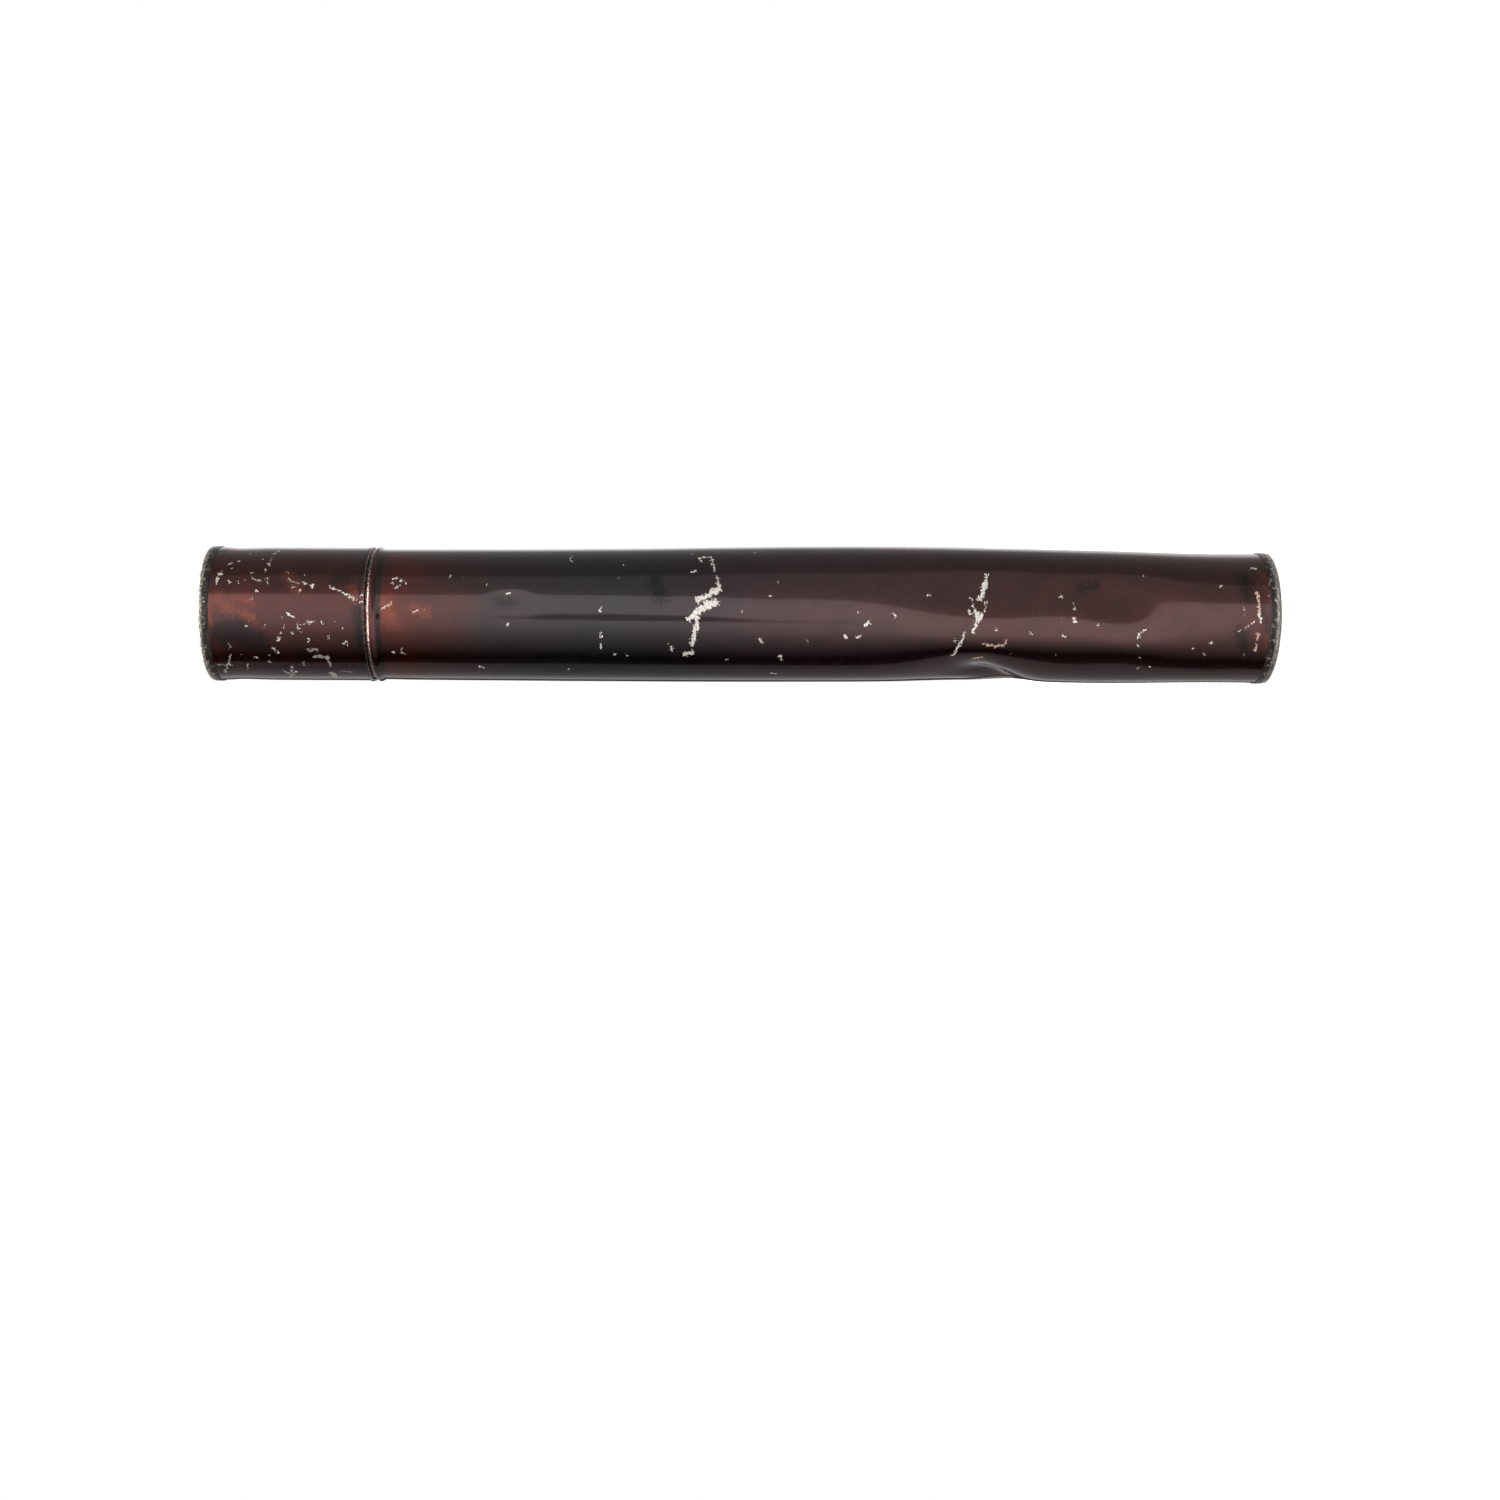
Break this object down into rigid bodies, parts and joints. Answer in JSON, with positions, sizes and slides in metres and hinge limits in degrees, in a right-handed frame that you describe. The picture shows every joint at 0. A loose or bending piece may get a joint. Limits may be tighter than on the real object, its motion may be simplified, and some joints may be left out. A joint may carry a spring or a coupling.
{
  "type": "tin document tube",
  "caption": "Round tinplate tube for rolled documents, with a slip-on lid that stops against a rolled bead, flanged end caps and brown lacquer worn to bare metal.",
  "frame": {"origin": "middle of the underside of the bottom cap, on which the tube stands", "axes": "+Z along the tube, up towards the lid; -Y towards the side that the picture shows"},
  "size_m": [0.0529, 0.0516, 0.406],
  "materials": {
    "brown_lacquer": "glossy dark brown lacquer on tinplate, chipped and scratched",
    "red_brown_lacquer": "glossy red-brown lacquer on tinplate, chipped and scratched",
    "worn_black": "black lacquer on tinplate, rubbed to grey bare tin at the edge"
  },
  "bodies": {
    "body": {"body_tube": "brown_lacquer", "body_bottom_cap": "worn_black"},
    "lid": {"lid_tube": "red_brown_lacquer", "lid_top_cap": "worn_black"}
  },
  "joints": [
    {"name": "lid_slide", "type": "slide", "parent": "body", "child": "lid", "axis": [0, 0, 1], "range_m": [0, 0.06]}
  ]
}
